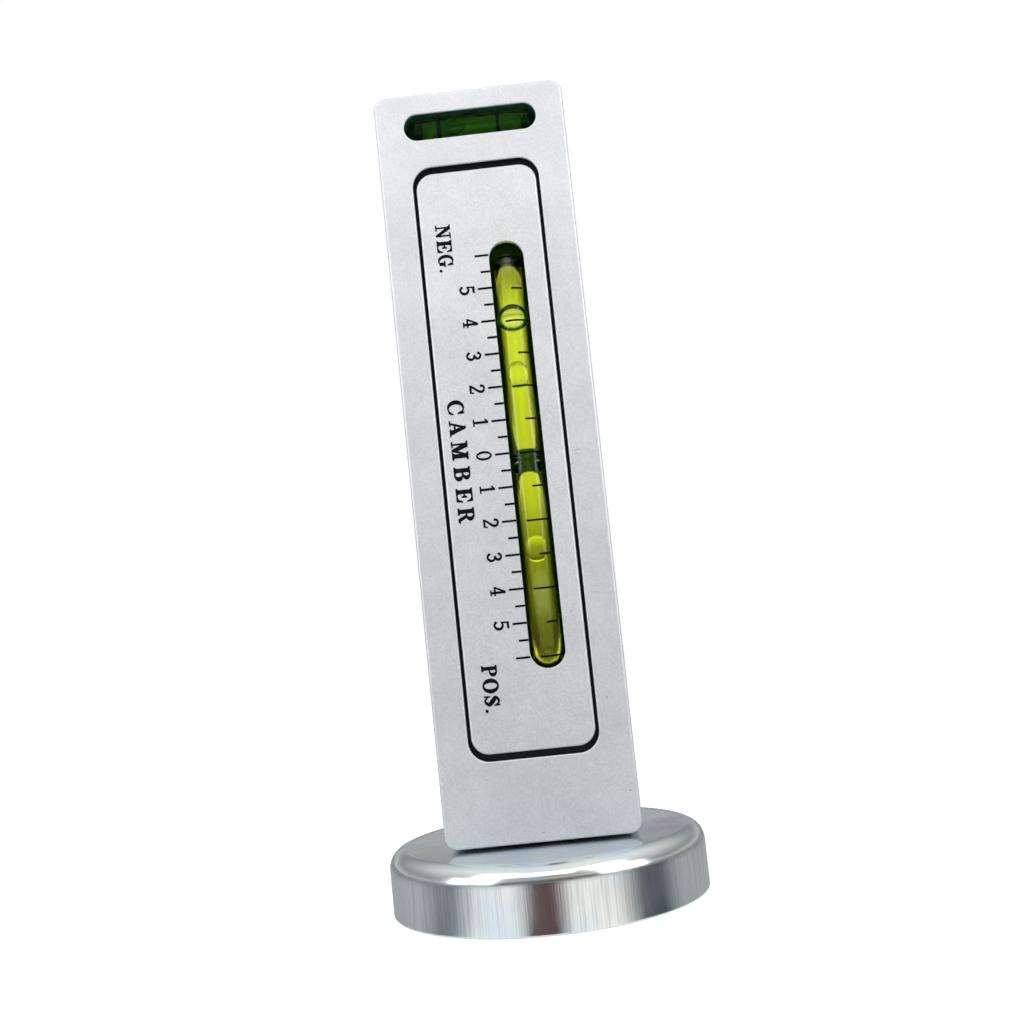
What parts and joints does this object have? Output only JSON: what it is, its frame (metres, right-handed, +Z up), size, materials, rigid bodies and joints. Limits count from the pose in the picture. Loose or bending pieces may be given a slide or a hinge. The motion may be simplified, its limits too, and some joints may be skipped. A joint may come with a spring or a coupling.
{
  "type": "camber caster gauge",
  "caption": "Upright metal bar with bubble vials in its front, back and head, on a round pot magnet, for reading wheel camber and caster.",
  "frame": {"origin": "centre of the magnet's bottom face", "axes": "+Z up the bar, -Y towards the camber face, +X to the right of the camber face"},
  "size_m": [0.05, 0.05, 0.1284],
  "materials": {
    "anodised_bar": "matte, bead blasted and clear anodised",
    "anodised_plate": "matte, bead blasted and clear anodised",
    "black_film": "matte black",
    "black_ink": "matte black print",
    "vial_glass": "clear, polished",
    "vial_liquid": "clear yellow green liquid",
    "air_bubble": "clear",
    "vial_plug": "black, smooth",
    "potting": "off white, matte",
    "zinc_plated_cup": "bright zinc plate with a faint violet and blue sheen",
    "ferrite": "ground dark grey ceramic",
    "black_resin": "glossy black",
    "screw_steel": "zinc plated, satin"
  },
  "bodies": {
    "gauge": {"bar_body": "anodised_bar", "camber_plate": "anodised_plate", "camber_plate_tape": "black_film", "camber_scale_marks": "black_ink", "caster_plate": "anodised_plate", "caster_plate_tape": "black_film", "caster_scale_marks": "black_ink", "camber_vial_tube": "vial_glass", "camber_vial_upper_plug": "vial_plug", "camber_vial_lower_plug": "vial_plug", "camber_vial_fluid": "vial_liquid", "camber_vial_marks": "black_ink", "camber_vial_upper_bed": "potting", "camber_vial_lower_bed": "potting", "upper_caster_tube": "vial_glass", "upper_caster_upper_plug": "vial_plug", "upper_caster_lower_plug": "vial_plug", "upper_caster_fluid": "vial_liquid", "upper_caster_bed": "potting", "lower_caster_tube": "vial_glass", "lower_caster_upper_plug": "vial_plug", "lower_caster_lower_plug": "vial_plug", "lower_caster_fluid": "vial_liquid", "lower_caster_bed": "potting", "level_tube": "vial_glass", "level_left_plug": "vial_plug", "level_right_plug": "vial_plug", "level_fluid": "vial_liquid", "level_rings": "black_ink", "level_bed": "potting", "magnet_cup": "zinc_plated_cup", "magnet_ring": "ferrite", "magnet_resin": "black_resin", "base_screw": "screw_steel", "lock_washer": "screw_steel", "spacer_washer": "black_film"},
    "camber_air": {"camber_bubble": "air_bubble"},
    "upper_caster_air": {"upper_caster_bubble": "air_bubble"},
    "lower_caster_air": {"lower_caster_bubble": "air_bubble"},
    "level_air": {"level_bubble": "air_bubble"}
  },
  "joints": [
    {"name": "camber_bubble_run", "type": "hinge", "parent": "gauge", "child": "camber_air", "pos_m": [0.0035, 0.2937, 0.0697], "axis": [-1, 0, 0], "range_deg": [-10.09, 1.71]},
    {"name": "upper_caster_bubble_run", "type": "hinge", "parent": "gauge", "child": "upper_caster_air", "pos_m": [0.0035, 0.15322, 0.08805], "axis": [-1, 0, 0], "range_deg": [-3.86, 6.62]},
    {"name": "lower_caster_bubble_run", "type": "hinge", "parent": "gauge", "child": "lower_caster_air", "pos_m": [0.0035, 0.15322, 0.05235], "axis": [-1, 0, 0], "range_deg": [-6.46, 4.02]},
    {"name": "level_bubble_run", "type": "hinge", "parent": "gauge", "child": "level_air", "pos_m": [-0.00035, 0.10459, 0.123], "axis": [0, 0, 1], "range_deg": [-1.65, 4.49]}
  ]
}
